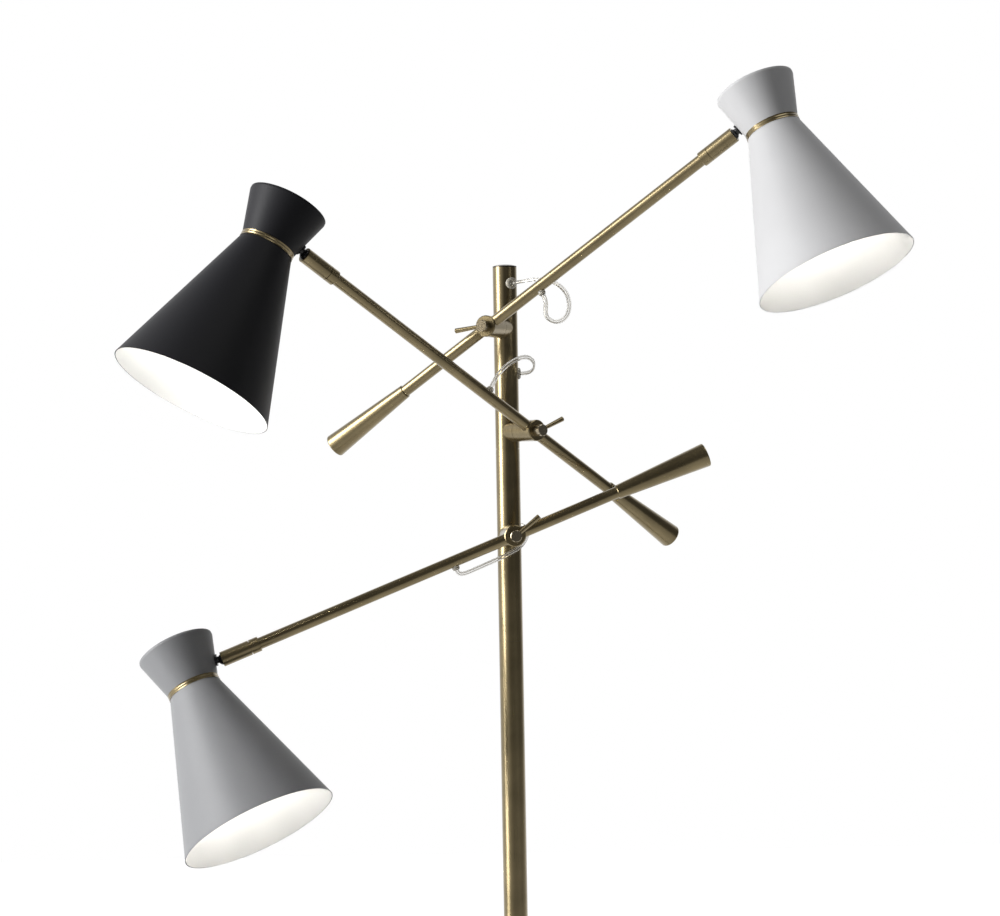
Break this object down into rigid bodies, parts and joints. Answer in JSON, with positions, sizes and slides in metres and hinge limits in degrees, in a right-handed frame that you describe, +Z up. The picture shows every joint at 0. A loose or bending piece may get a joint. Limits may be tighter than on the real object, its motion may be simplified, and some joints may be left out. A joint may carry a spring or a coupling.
{
  "type": "floor lamp",
  "caption": "Floor lamp with a straight pole and pivoting counterweighted arms, each ending in a swivelling double-cone shade on a ball joint.",
  "frame": {"origin": "centre of the base on the floor", "axes": "+Z up along the pole, the lamp is seen from the front looking along +Y, +X to the right in that view"},
  "size_m": [0.7658, 0.4915, 1.776],
  "materials": {
    "antique_brass": "antiqued, brushed satin",
    "dark_cap": "dark bronze, satin",
    "black_paint": "satin",
    "white_paint": "satin",
    "grey_paint": "satin",
    "black_metal": "gloss",
    "holder_plastic": "matte",
    "bulb_glass": "opal",
    "clear_cord": "translucent",
    "pale_grommet": "semi-gloss",
    "felt": "felt",
    "iron": "rough",
    "inlet_rubber": "matte"
  },
  "bodies": {
    "stand": {"base_weight": "iron", "base_cover": "antique_brass", "felt_pad": "felt", "inlet_grommet": "inlet_rubber", "lower_pole": "antique_brass", "grey_pole_section": "antique_brass", "grey_hub": "antique_brass", "grey_pole_grommet": "pale_grommet", "grey_cord": "clear_cord"},
    "black_section": {"black_pole_section": "antique_brass", "black_hub": "antique_brass", "black_pole_grommet": "pale_grommet", "black_cord": "clear_cord"},
    "white_section": {"white_pole_section": "antique_brass", "white_hub": "antique_brass", "pole_cap": "dark_cap", "white_pole_grommet": "pale_grommet", "white_cord": "clear_cord"},
    "white_arm": {"white_swivel_head": "antique_brass", "white_arm_tube": "antique_brass", "white_counterweight": "antique_brass", "white_arm_collar": "antique_brass", "white_arm_grommet": "pale_grommet"},
    "white_clamp": {"white_clamp_knob": "antique_brass", "white_clamp_lever": "antique_brass"},
    "white_knuckle": {"white_knuckle_barrel": "antique_brass"},
    "white_stem": {"white_ball_stem": "black_metal"},
    "white_shade": {"white_upper_cone": "white_paint", "white_waist_ring": "antique_brass", "white_lower_cone": "white_paint", "white_lampholder": "holder_plastic", "white_bulb": "bulb_glass"},
    "black_arm": {"black_swivel_head": "antique_brass", "black_arm_tube": "antique_brass", "black_counterweight": "antique_brass", "black_arm_collar": "antique_brass", "black_arm_grommet": "pale_grommet"},
    "black_clamp": {"black_clamp_knob": "antique_brass", "black_clamp_lever": "antique_brass"},
    "black_knuckle": {"black_knuckle_barrel": "antique_brass"},
    "black_stem": {"black_ball_stem": "black_metal"},
    "black_shade": {"black_upper_cone": "black_paint", "black_waist_ring": "antique_brass", "black_lower_cone": "black_paint", "black_lampholder": "holder_plastic", "black_bulb": "bulb_glass"},
    "grey_arm": {"grey_swivel_head": "antique_brass", "grey_arm_tube": "antique_brass", "grey_counterweight": "antique_brass", "grey_arm_collar": "antique_brass", "grey_arm_grommet": "pale_grommet"},
    "grey_clamp": {"grey_clamp_knob": "antique_brass", "grey_clamp_lever": "antique_brass"},
    "grey_knuckle": {"grey_knuckle_barrel": "antique_brass"},
    "grey_stem": {"grey_ball_stem": "black_metal"},
    "grey_shade": {"grey_upper_cone": "grey_paint", "grey_waist_ring": "antique_brass", "grey_lower_cone": "grey_paint", "grey_lampholder": "holder_plastic", "grey_bulb": "bulb_glass"}
  },
  "joints": [
    {"name": "black_section_swivel", "type": "hinge", "parent": "stand", "child": "black_section", "pos_m": [0, 0, 1.41115], "axis": [0, 0, 1], "range_deg": [-10, 150]},
    {"name": "white_section_swivel", "type": "hinge", "parent": "black_section", "child": "white_section", "pos_m": [0, 0, 1.51865], "axis": [0, 0, 1], "range_deg": [-75, 45]},
    {"name": "white_arm_tilt", "type": "hinge", "parent": "white_section", "child": "white_arm", "pos_m": [-0.0179, -0.03965, 1.537], "axis": [0.4115, 0.9114, 0], "range_deg": [-45, 75], "deforming": ["white_cord"]},
    {"name": "white_clamp_turn", "type": "hinge", "parent": "white_section", "child": "white_clamp", "pos_m": [-0.0179, -0.03965, 1.537], "axis": [-0.4115, -0.9114, 0], "range_deg": [-90, 90]},
    {"name": "white_knuckle_spin", "type": "hinge", "parent": "white_arm", "child": "white_knuckle", "pos_m": [0.2253, -0.14946, 1.71362], "axis": [0.76, -0.3432, 0.5519], "range_deg": [-170, 170]},
    {"name": "white_ball_tilt", "type": "hinge", "parent": "white_knuckle", "child": "white_stem", "pos_m": [0.2253, -0.14946, 1.71362], "axis": [-0.422, -0.9064, 0.0175], "range_deg": [-43.6, 28.4]},
    {"name": "white_shade_twist", "type": "hinge", "parent": "white_stem", "child": "white_shade", "pos_m": [0.2253, -0.14946, 1.71362], "axis": [0.688, -0.3076, 0.6574], "range_deg": [-170, 170]},
    {"name": "black_arm_tilt", "type": "hinge", "parent": "black_section", "child": "black_arm", "pos_m": [0.02606, -0.03483, 1.4295], "axis": [0.599, -0.8007, 0], "range_deg": [-30, 45], "deforming": ["black_cord"]},
    {"name": "black_clamp_turn", "type": "hinge", "parent": "black_section", "child": "black_clamp", "pos_m": [0.02606, -0.03483, 1.4295], "axis": [0.599, -0.8007, 0], "range_deg": [-90, 90]},
    {"name": "black_knuckle_spin", "type": "hinge", "parent": "black_arm", "child": "black_knuckle", "pos_m": [-0.19124, -0.19739, 1.59907], "axis": [-0.6791, -0.508, 0.5299], "range_deg": [-170, 170]},
    {"name": "black_ball_tilt", "type": "hinge", "parent": "black_knuckle", "child": "black_stem", "pos_m": [-0.19124, -0.19739, 1.59907], "axis": [-0.6781, 0.7105, -0.1879], "range_deg": [-51.6, 20.4]},
    {"name": "black_shade_twist", "type": "hinge", "parent": "black_stem", "child": "black_shade", "pos_m": [-0.19124, -0.19739, 1.59907], "axis": [-0.5785, -0.3583, 0.7328], "range_deg": [-170, 170]},
    {"name": "grey_arm_tilt", "type": "hinge", "parent": "stand", "child": "grey_arm", "pos_m": [0.00507, -0.0432, 1.322], "axis": [-0.1167, 0.9932, 0], "range_deg": [-25, 50], "deforming": ["grey_cord"]},
    {"name": "grey_clamp_turn", "type": "hinge", "parent": "stand", "child": "grey_clamp", "pos_m": [0.00507, -0.0432, 1.322], "axis": [0.1167, -0.9932, 0], "range_deg": [-90, 90]},
    {"name": "grey_knuckle_spin", "type": "hinge", "parent": "grey_arm", "child": "grey_knuckle", "pos_m": [-0.29042, -0.07792, 1.2042], "axis": [-0.9234, -0.1085, -0.3681], "range_deg": [-170, 170]},
    {"name": "grey_ball_tilt", "type": "hinge", "parent": "grey_knuckle", "child": "grey_stem", "pos_m": [-0.29042, -0.07792, 1.2042], "axis": [0.0759, 0.8887, -0.4522], "range_deg": [-49.5, 22.5]},
    {"name": "grey_shade_twist", "type": "hinge", "parent": "grey_stem", "child": "grey_shade", "pos_m": [-0.29042, -0.07792, 1.2042], "axis": [-0.9857, -0.0015, -0.1683], "range_deg": [-170, 170]}
  ]
}
